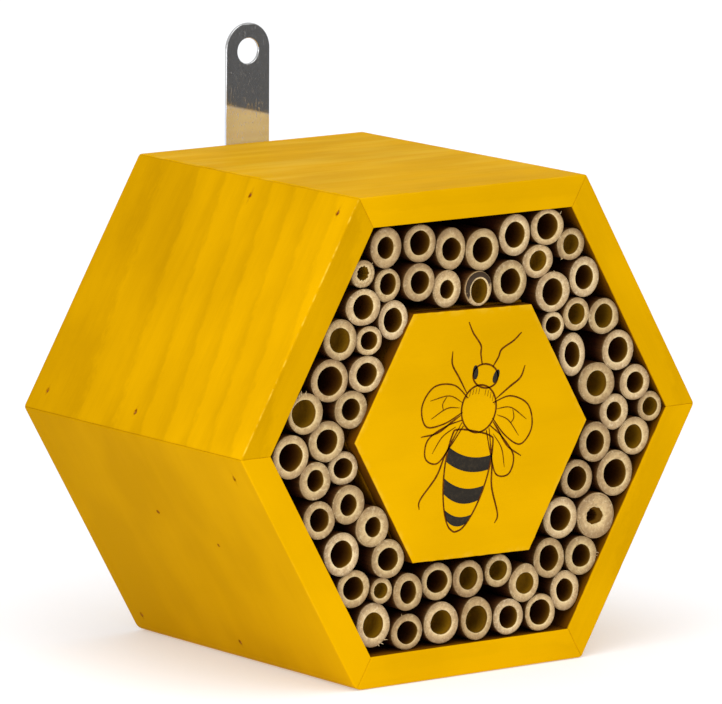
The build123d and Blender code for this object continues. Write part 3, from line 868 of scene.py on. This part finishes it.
class Cane:
    """One bamboo tube. Its sizes are read from its CAD solid; its unevenness is its own."""

    def __init__(self, points, random):
        low, high = points.min(axis=0), points.max(axis=0)
        self.middle = (low + high)[[0, 2]] / 2
        half = (high - low)[[0, 2]] / 2
        self.y_front, self.y_rear = low[1], high[1]
        away = points[:, (0, 2)] - self.middle
        inner = np.hypot(*(away / half).T) < 0.97
        bore_half = np.abs(away[inner]).max(axis=0)
        levels = np.unique(np.round(points[inner][:, 1], 5))
        self.closed = len(levels) > 2
        self.bore_depth = (levels[1] - levels[0]) / MM
        self.place = (self.middle - (0, MID_Z)) / MM
        self.nearly_closed = self.is_at(NEARLY_CLOSED_CANE)
        self.ragged = self.is_at(RAGGED_CANE)
        self.angles = np.arange(SEGMENTS) * 2 * math.pi / SEGMENTS
        circle = polar(1.0, self.angles)
        self.shape_skin(half * circle, random)
        self.shape_bore(bore_half * circle, random)
        self.tilt = random.normal(0, 0.022, 2)
        self.tone = random.uniform(0.0, 1.0)
        self.seed = random.uniform(0, 90)
        self.wall_mm = np.linalg.norm(self.outer - self.bore, axis=1).mean() / MM
        self.rounding = min(EDGE_ROUND, 0.42 * self.wall_mm)
        self.soot = np.zeros(SEGMENTS)
        for degrees, spread, strength in self.features(STAINS):
            stain = strength * np.exp(-(turn_gap(self.angles, degrees) / spread) ** 4)
            self.soot = np.maximum(self.soot, stain)

    def is_at(self, place):
        return math.dist(place, self.place) < FOUND_WITHIN

    def features(self, rows):
        """The rows of a list of features that belong to this tube, without their place."""
        return [row[1:] for row in rows if self.is_at(row[0])]

    def shape_skin(self, oval, random):
        """The outline of the skin about the tube's middle."""
        self.outer = oval * (wavy(self.angles, random, 0.010) + 0.028)[:, None]
        for degrees, rise, spread in self.features(BUMPS):
            bump = rise * np.exp(-(turn_gap(self.angles, degrees) / spread) ** 2)
            self.outer = self.outer * (1 + bump)[:, None]

    def shape_bore(self, oval, random):
        """The outline of the bore, and how far its middle is from the tube's."""
        bore = oval * (wavy(self.angles, random, 0.014) + 0.03)[:, None]
        self.shift = random.normal(0, 0.12 * MM, 2)
        for across, up, degrees in self.features(BORE_SHIFTS):
            self.shift = np.array((across, up)) * MM
            bore = turned(bore, degrees)
        if self.nearly_closed:
            torn = 0.04 * np.cos(3 * self.angles + 1) + 0.03 * np.cos(7 * self.angles)
            bore = oval * (1.12 + torn + 0.025 * np.cos(11 * self.angles + 2))[:, None]
        if self.ragged:
            torn = 0.05 * np.cos(9 * self.angles) + 0.05 * np.cos(13 * self.angles + 1)
            bore = bore * (1 + torn)[:, None]
        self.bore = bore + self.shift

    def rim_y(self, flat, share):
        """The depth of the sawn end, a share of the way from the bore to the skin."""
        from_bore = share * self.wall_mm
        to_skin = max(self.rounding - (1 - share) * self.wall_mm, 0.0)
        drop = self.rounding - math.sqrt(self.rounding ** 2 - to_skin ** 2)
        drop += 0.22 * fade(0.0, 0.45, from_bore)
        grit = 0.07 * noise_at(flat / MM, 1.9, self.seed) + 0.05 * noise_at(flat / MM, 4.3, self.seed)
        if self.ragged:
            drop += 0.35 * math.exp(-((share - 0.5) / 0.1) ** 2)
            grit = 2.2 * grit
        if self.nearly_closed:
            drop += 0.6 * fade(0.0, 1.2, from_bore)
        return self.y_front + flat @ self.tilt + (drop + grit) * MM

    def ring(self, flat, depths, wall=0.0, inside=0.0, outside=0.0, web=0.0, soot=0.0):
        """One ring of points with the values that the material reads."""
        values = np.zeros((len(flat), len(CANE_VALUES)))
        for column, value in enumerate((wall, inside, outside, web, self.tone, soot)):
            values[:, column] = value
        return upright(self.middle + flat, depths), values

    def bore_rings(self):
        """The bore, from its deep end to its mouth."""
        mouth = self.rim_y(self.bore, 0.0)
        rings = []
        if self.closed:
            for share in WEB_SHARES:
                flat = self.bore * share + self.shift * (1 - share)
                hollow = 0.5 * (1 - share ** 2) + 0.1 * noise_at(flat / MM, 0.9, self.seed)
                depths = mouth.mean() + (self.bore_depth + hollow) * MM
                rings.append(self.ring(flat, depths, inside=self.bore_depth, web=1.0))
        else:
            rings.append(self.ring(self.bore, self.y_rear, inside=FAR_BACK))
        for step in reversed([step for step in BORE_STEPS if step < self.bore_depth - 0.4]):
            flat = self.bore * (1 + 0.005 * math.sin(0.5 * step + self.seed))
            inside = step
            if self.nearly_closed and step > 1.2:
                flat = 0.74 * flat - (0.45 * MM, 0.1 * MM)
            if self.nearly_closed and 0.7 < step < 1.7:
                inside = 0.8
            web = smoothstep(0.2, 1.4, step) if self.closed else 0.0
            rings.append(self.ring(flat, mouth + step * MM, inside=inside, web=web))
        return rings

    def rim_rings(self):
        """The sawn end, from the bore to the skin."""
        rings = []
        for share in RIM_SHARES:
            flat = self.bore + (self.outer - self.bore) * share
            soot = self.soot * smoothstep(0.15, 0.28, share) * fade(0.88, 0.96, share)
            rings.append(self.ring(flat, self.rim_y(flat, share), wall=share, soot=soot))
        return rings

    def skin_rings(self):
        """The skin, from the sawn end to the rear."""
        edge = self.rim_y(self.outer, 1.0)
        rings = []
        for step in SKIN_STEPS:
            drift = 0.996 + 0.006 * math.sin(0.21 * step + self.seed)
            bark = drift + 0.004 * noise_at(self.outer / MM, 1.2, step)
            flat = self.outer * bark[:, None]
            rings.append(self.ring(flat, edge + step * MM, wall=1.0, outside=step))
        rings.append(self.ring(self.outer, self.y_rear, wall=1.0, outside=FAR_BACK))
        return rings

    def mesh_parts(self):
        """The tube's points, faces and values. A bore that runs through joins the rear end; a
        closed one and the rear end are each shut by a fan."""
        rings = self.bore_rings() + self.rim_rings() + self.skin_rings()
        faces = []
        for row in range(len(rings) - self.closed):
            faces += between(SEGMENTS * row, SEGMENTS * ((row + 1) % len(rings)), SEGMENTS)
        if self.closed:
            hub = SEGMENTS * len(rings)
            for first, (points, values) in ((0, rings[0]), (hub - SEGMENTS, rings[-1])):
                rings.append((points.mean(axis=0)[None], values[:1]))
                faces += [[hub, first + (n + 1) % SEGMENTS, first + n] for n in range(SEGMENTS)]
                hub += 1
        points, values = zip(*rings)
        return np.concatenate(points), faces, np.concatenate(values)

    def splinter(self, degrees, length, lean):
        """A torn fibre that sticks out of the rim: a thin spike that bends as it leaves."""
        place = math.radians(degrees)
        rim = [np.interp(place, self.angles, line, period=2 * math.pi) for line in self.outer.T]
        way = polar(length * MM, math.radians(lean))
        rings = []
        for share in (0.0, 0.3, 0.6, 0.85, 1.0):
            width = 0.20 * MM * (1 - share) ** 0.6 + 0.01 * MM
            aside, drop = polar(width, np.radians((90, 210, 330))).T
            flat = self.middle + 0.93 * np.array(rim) + way * share
            flat = flat + left_of(way / (length * MM)) * aside[:, None]
            depth = self.y_front + (0.5 - 1.1 * share + 0.7 * share ** 2) * MM
            rings.append(upright(flat, depth + drop))
        faces = [[0, 1, 2], [12, 14, 13]]
        for first in (0, 3, 6, 9):
            faces += between(first, first + 3, 3)
        values = np.tile((0.2, 0.0, 0.0, 0.0, self.tone * 0.5, 0.0), (15, 1))
        return np.concatenate(rings), faces, values


def bamboo_tubes(material):
    """Every pair of tubes that the CAD has, one piece for each node."""
    random = np.random.default_rng(64)
    for node in sorted(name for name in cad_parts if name.startswith("bamboo_tubes_")):
        parts = []
        for points in solids_of(node):
            cane = Cane(points, random)
            parts.append(cane.mesh_parts())
            parts += [cane.splinter(*row) for rows in cane.features(SPLINTERS) for row in rows]
        points, faces, values = joined(parts)
        mesh = make_mesh(node.replace("bamboo_tubes", "canes"), points, faces)
        write_values(mesh, **dict(zip(CANE_VALUES, values.T)))
        add_piece(mesh, material, [node])


# --- Print on the panel: a plain bee seen from above ---

INK_PROUD = 0.07 * MM
INK_SUNK = 0.05 * MM
PRINT_TILT = -14
PRINT_MIDDLE = (0.5 * MM, -1.0 * MM)
ABDOMEN_TOP = 1.5
ABDOMEN_LENGTH = 36.0
ABDOMEN_HALF = 10.8

# Lines of the bee's right half: width, how much they thin towards their ends, how many points make
# them smooth, and the places they run through, in millimetres across and towards the head
BEE_LINES = (
    # The fore wing and its veins
    (0.55, 0.3, 90, ((5.6, 12.5), (13.0, 16.0), (21.5, 14.0), (25.0, 6.5), (21.5, 0.0),
                     (14.0, 2.0), (6.8, 7.2))),
    (0.36, 0.7, 30, ((7.5, 10.5), (14.0, 12.0), (22.0, 9.0))),
    (0.36, 0.7, 30, ((8.5, 8.6), (14.0, 7.5), (20.0, 2.8))),
    (0.36, 0.7, 30, ((15.0, 11.6), (16.2, 8.8), (15.4, 6.6))),
    # The hind wing and its vein
    (0.55, 0.3, 80, ((6.4, 4.5), (13.0, 1.2), (19.5, -4.5), (19.0, -11.0), (13.5, -12.0),
                     (9.3, -5.5), (5.2, 2.6))),
    (0.36, 0.7, 30, ((8.5, 1.8), (13.5, -2.6), (16.5, -9.0))),
    # The feeler
    (0.62, 0.35, 50, ((2.4, 24.8), (4.0, 28.5), (4.8, 31.5), (9.2, 35.2), (12.0, 38.6))),
    # The legs
    (0.66, 0.6, 50, ((6.6, 14.0), (11.5, 19.0), (15.5, 23.0), (16.5, 27.5))),
    (0.66, 0.6, 50, ((7.4, 6.0), (10.2, 3.6), (16.0, -1.5), (22.8, -4.0))),
    (0.66, 0.6, 50, ((6.2, 3.6), (10.5, -8.0), (12.6, -16.5), (17.6, -25.5), (17.2, -29.0))),
)


def printed(points):
    """Places in the drawing turned onto the panel, as (x, z)."""
    return turned(np.asarray(points, float) * MM, PRINT_TILT) + PRINT_MIDDLE + (0.0, PANEL_MID_Z)


def slab(first, second, closed, band=0.0):
    """A thin slab of ink between two lines of the drawing that run side by side."""
    first, second = printed(first), printed(second)
    layers = ((first, -INK_PROUD), (second, -INK_PROUD), (second, INK_SUNK), (first, INK_SUNK))
    points = np.concatenate([upright(line, FRONT_Y + depth) for line, depth in layers])
    count = len(first)
    faces = []
    for layer in range(4):
        faces += between(layer * count, (layer + 1) % 4 * count, count, closed)
    if not closed:
        faces += [[layer * count + n for layer in range(4)] for n in (0, count - 1)]
    return points, faces, np.full((len(points), 1), band)


def smooth_line(points, count):
    """A smooth line through a few points, by Catmull-Rom."""
    points = np.asarray(points, float)
    ends = np.concatenate(([2 * points[0] - points[1]], points, [2 * points[-1] - points[-2]]))
    line = []
    for place in np.linspace(0, len(points) - 1, count):
        n = min(int(place), len(points) - 2)
        t = place - n
        a, b, c, d = ends[n:n + 4]
        curve = (2 * a - 5 * b + 4 * c - d) * t * t + (3 * b - 3 * c + d - a) * t ** 3
        line.append(0.5 * (2 * b + (c - a) * t + curve))
    return np.array(line)


def stroke(line, width, closed=False, taper=0.0):
    """A line of ink of a width in millimetres, thinner towards its ends by the taper."""
    if closed:
        way = np.roll(line, -1, axis=0) - np.roll(line, 1, axis=0)
    else:
        way = np.vstack((line[1:], line[-1:])) - np.vstack((line[:1], line[:-1]))
    way /= np.linalg.norm(way, axis=1)[:, None]
    share = np.linspace(0, 1, len(line))
    thick = width / 2 * (1 - taper * np.abs(2 * share - 1) ** 3)
    thick = thick * (1 + 0.10 * noise_at(line, 0.8, width))
    edge = left_of(way) * thick[:, None]
    return slab(line + edge, line - edge, closed)


def ellipse(middle, half, turn=0.0, count=96):
    """Points round an ellipse."""
    angles = np.arange(count) * 2 * math.pi / count
    return turned(polar(1.0, angles) * half, turn) + middle


def filled(line):
    """A filled shape of ink: a fan of narrow slabs towards its middle."""
    middle = line.mean(axis=0)
    return slab(line, middle + (line - middle) * 0.02, True, 1.0)


def abdomen_half(down):
    """Half the abdomen's width at a distance below its top."""
    share = np.clip(np.asarray(down) / ABDOMEN_LENGTH, 0, 1)
    bulge = np.sqrt(np.clip(1 - (2 * share - 0.76) ** 2 / 1.54, 0, 1))
    return ABDOMEN_HALF * bulge * (1 - 0.25 * share)


def abdomen_line():
    """The outline of the abdomen."""
    turn = np.linspace(0, math.pi, 60)
    down = ABDOMEN_LENGTH * (1 - np.cos(turn)) / 2
    half = abdomen_half(down) * np.clip(np.sin(turn) * 3, 0, 1) ** 0.5
    right = np.stack((half, ABDOMEN_TOP - down), axis=1)
    return np.concatenate((right, (right * (-1, 1))[-2:0:-1]))


def stripe(top, bottom, bow):
    """A curved dark band across the abdomen."""
    across = np.linspace(-0.97, 0.97, 41)
    sag = bow * (1 - across ** 2)
    upper, lower = (
        np.stack((across * abdomen_half(down), ABDOMEN_TOP - down - sag), axis=1)
        for down in (top, bottom)
    )
    return slab(upper, lower, False, 1.0)


def bee_print(material):
    """Body, wings, legs and feelers in thin lines, with solid bands on the abdomen."""
    parts = [
        stroke(abdomen_line(), 0.62, closed=True),
        stripe(7.0, 12.2, 2.2),
        stripe(18.0, 23.4, 2.4),
        stripe(28.8, 32.2, 1.8),
        stroke(ellipse((0, 9.5), (7.6, 8.4)), 0.62, closed=True),
        stroke(ellipse((0, 21.2), (5.6, 4.2)), 0.62, closed=True),
    ]
    for side in (-1, 1):
        mirror = (side, 1)
        for width, taper, count, places in BEE_LINES:
            parts.append(stroke(smooth_line(places, count) * mirror, width, taper=taper))
        parts.append(filled(ellipse((4.7, 21.8), (1.2, 2.5), -12, 40) * mirror))
        for n in range(5):
            x, z = 1.4 + 1.25 * n, 16.6 - 0.16 * n * n
            hair = np.array(((x, z), (x * 1.02, z - 2.1))) * mirror
            parts.append(stroke(hair, 0.36, taper=0.6))
    points, faces, bands = joined(parts)
    mesh = make_mesh("panel_print", points, faces)
    write_values(mesh, band=bands[:, 0])
    add_piece(mesh, material)


# --- Metal parts ---

STRIP_EDGE_R = 0.28 * MM
HOLE_BELOW_TOP = 10.2 * MM
HOLE_R = 4.6 * MM
HEAD_R = 2.8 * MM
SCREW_DROPS = (5.5 * MM, 23 * MM)
SCREW_TURNS = (24, 71)
SCREW_POINTS = 120


def hanging_strip(material):
    """The flat strip with its round top, hanging hole and the holes of its two screws."""
    half = (STRIP_HIGH.x - STRIP_LOW.x) / 2
    curve = bpy.data.curves.new("strip_outline", "CURVE")
    curve.dimensions = "2D"
    curve.fill_mode = "BOTH"
    curve.extrude = (STRIP_HIGH.y - STRIP_LOW.y) / 2 - STRIP_EDGE_R
    curve.bevel_depth = STRIP_EDGE_R
    curve.bevel_resolution = 3
    curve.offset = -STRIP_EDGE_R
    top = polar(half, np.linspace(0, math.pi, 65)) + (STRIP_X, STRIP_HIGH.z - half)
    loops = [[(STRIP_LOW.x, STRIP_LOW.z), (STRIP_HIGH.x, STRIP_LOW.z), *top]]
    holes = [(STRIP_HIGH.z - HOLE_BELOW_TOP, HOLE_R)] + [(TOP_Z - drop, HEAD_R) for drop in SCREW_DROPS]
    for middle, radius in holes:
        loops.append(polar(radius, ROUND) + (STRIP_X, middle))
    for loop in loops:
        spline = curve.splines.new("POLY")
        spline.points.add(len(loop) - 1)
        for point, (x, z) in zip(spline.points, loop):
            point.co = (x, z, 0, 1)
        spline.use_cyclic_u = True
    flat = bpy.data.objects.new("strip_outline", curve)
    mesh = bpy.data.meshes.new_from_object(flat)
    bpy.data.objects.remove(flat)
    mesh.name = "hanging_strip"
    middle_y = (STRIP_LOW.y + STRIP_HIGH.y) / 2
    mesh.transform(Matrix(((1, 0, 0, 0), (0, 0, -1, middle_y), (0, 1, 0, 0), (0, 0, 0, 1))))
    clean(mesh, 0.002 * MM)
    piece = add_piece(mesh, material, ["hanger_strip"])
    even = piece.modifiers.new("even_normals", "WEIGHTED_NORMAL")
    even.weight = 100


def strip_screws(material):
    """Both countersunk heads: each a shallow dome with a cross recess, of rings round a hub."""
    radii = np.concatenate((np.linspace(0.0, 0.95, 22), (0.975, 1.0, 1.0))) * (HEAD_R - 0.08 * MM)
    sinks = np.zeros(len(radii))
    sinks[-2:] = (0.06, 1.2)
    angles = 2 * math.pi * np.arange(SCREW_POINTS) / SCREW_POINTS
    parts = []
    for drop, turn in zip(SCREW_DROPS, SCREW_TURNS):
        rings = []
        for radius, sink in zip(radii, sinks):
            cross = np.abs(polar(radius, angles - math.radians(turn))) / MM
            along, across = cross.max(axis=1), cross.min(axis=1)
            recess = fade(0.22, 0.34, across) * fade(1.25, 1.55, along)
            height = 0.02 - 0.9 * recess * (1 - 0.35 * np.minimum(along / 1.5, 1.0))
            height -= 0.05 * smoothstep(0.9, 1.0, radius / HEAD_R) + sink
            flat = polar(radius, angles) + (STRIP_X, TOP_Z - drop)
            rings.append(upright(flat, STRIP_HIGH.y + height * MM))
        firsts = [1 + SCREW_POINTS * row for row in range(len(radii) - 1)]
        faces = []
        for first, second in zip(firsts, firsts[1:]):
            faces += between(first, second, SCREW_POINTS)
        faces += [[0, 1 + (n + 1) % SCREW_POINTS, 1 + n] for n in range(SCREW_POINTS)]
        faces.append([firsts[-1] + n for n in range(SCREW_POINTS)])
        points = np.concatenate((rings[0][:1], *rings[1:]))
        parts.append((points, faces, np.zeros(len(points))))
    points, faces, _ = joined(parts)
    add_piece(make_mesh("strip_screws", points, faces), material, ["hanger_screws"])


# --- Floor, light and camera ---

FLOOR_R = 9.0
FLOOR_Z = -0.2 * MM
CARD_HALF_WIDTH = 0.6
CARD_HEIGHT = 0.17
CARD_DISTANCE = 0.75
CARD_WAY = Vector((0.60, -0.80, 0.0))
SURROUNDINGS = 0.72

# The photo's camera: its yaw, pitch and roll in degrees, how far right of, above and behind the
# middle of the frame's front it is, in its own axes, and its lens in millimetres
CAMERA_TURNS = (36.91, 9.56, 0.34)
CAMERA_OFFSET = (-0.0389, 0.0277, 2.8488)
CAMERA_LENS = 406.29


def flat_face(name, material, points):
    """A single face in the scene."""
    mesh = bpy.data.meshes.new(name)
    mesh.from_pydata([tuple(point) for point in points], [], [range(len(points))])
    mesh.materials.append(material)
    return add_object(name, mesh)


def pale_floor():
    """A wide, plain, nearly white floor."""
    nodes = Nodes("pale_floor")
    body = nodes.mix(nodes.noise(40.0, 3.0), (0.73, 0.74, 0.77), (0.74, 0.75, 0.78))
    material = nodes.finish(body, 0.9, Specular_IOR_Level=0.1, Emission_Strength=0.29)
    edge = polar(FLOOR_R, ROUND)
    floor = flat_face("floor", material, [(x, y, FLOOR_Z) for x, y in edge])


def dark_card():
    """A dark studio card to the right of the camera, which only polished surfaces mirror."""
    nodes = Nodes("dark_card")
    body = nodes.mix(nodes.noise(9.0), (0.08, 0.08, 0.08), (0.15, 0.15, 0.15))
    foot = Vector((0.0, REAR_Y, 0.0)) + CARD_WAY * CARD_DISTANCE
    side = Vector((-CARD_WAY.y, CARD_WAY.x, 0.0)) * CARD_HALF_WIDTH
    up = Vector((0.0, 0.0, CARD_HEIGHT))
    points = (foot - side, foot + side, foot + side + up, foot - side + up)
    card = flat_face("dark_card", nodes.finish(body, 0.9), points)
    for ray in ("camera", "diffuse", "transmission", "shadow"):
        setattr(card, "visible_" + ray, False)


def add_light(name, kind, energy, place, **settings):
    """A light that looks at the object's middle."""
    light = bpy.data.lights.new(name, kind)
    light.energy = energy
    for key, value in settings.items():
        setattr(light, key, value)
    lamp = add_object(name, light)
    lamp.location = place
    lamp.rotation_mode = "QUATERNION"
    lamp.rotation_quaternion = (Vector((0, 0, MID_Z)) - Vector(place)).to_track_quat("-Z", "Y")
    return lamp


def studio():
    """Pale surroundings, a broad sun from the front left and a weak key near the object."""
    world = bpy.data.worlds.new("studio")
    world.use_nodes = True
    background = world.node_tree.nodes["Background"]
    background.inputs["Color"].default_value = (1.0, 1.0, 1.0, 1.0)
    background.inputs["Strength"].default_value = SURROUNDINGS
    bpy.context.scene.world = world
    add_light("high_sun", "SUN", 1.12, (-0.15, -0.34, 1.0), angle=math.radians(50))
    key = add_light("key", "AREA", 0.62, (-0.42, -0.22, 0.20), shape="DISK", size=0.25)
    key.visible_camera = False


def photo_camera():
    """The camera: far off, to the left of the front and a little above, with a long lens."""
    yaw, pitch, roll = (math.radians(angle) for angle in CAMERA_TURNS)
    turn = Matrix.Rotation(-yaw, 4, "Z") @ Matrix.Rotation(math.pi / 2 - pitch, 4, "X")
    turn = Matrix.Translation((0.0, FRONT_Y, MID_Z)) @ turn @ Matrix.Rotation(roll, 4, "Z")
    lens = bpy.data.cameras.new("photo_camera")
    lens.sensor_width = 36.0
    lens.lens = CAMERA_LENS
    lens.clip_start = 0.1
    lens.clip_end = 40.0
    camera = add_object("photo_camera", lens)
    camera.matrix_world = turn @ Matrix.Translation(CAMERA_OFFSET)
    bpy.context.scene.camera = camera


# --- The object ---

stain = stained_wood("stained_wood", (0.79, 0.415, 0.0), (0.49, 0.245, 0.0))
panel_stain = stained_wood("panel_wood", (0.81, 0.43, 0.0), (0.55, 0.28, 0.0))
frame_boards(stain)
back_board(stain)
centre_boards(stain)
centre_panel(panel_stain)
bamboo_tubes(bamboo())
bee_print(print_ink())
hanging_strip(polished_steel())
strip_screws(zinc_steel())
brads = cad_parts["frame_brads"]
brads.data.materials.clear()
brads.data.materials.append(rusty_brad())

pale_floor()
dark_card()
studio()
photo_camera()
bpy.context.scene.view_settings.view_transform = "Standard"
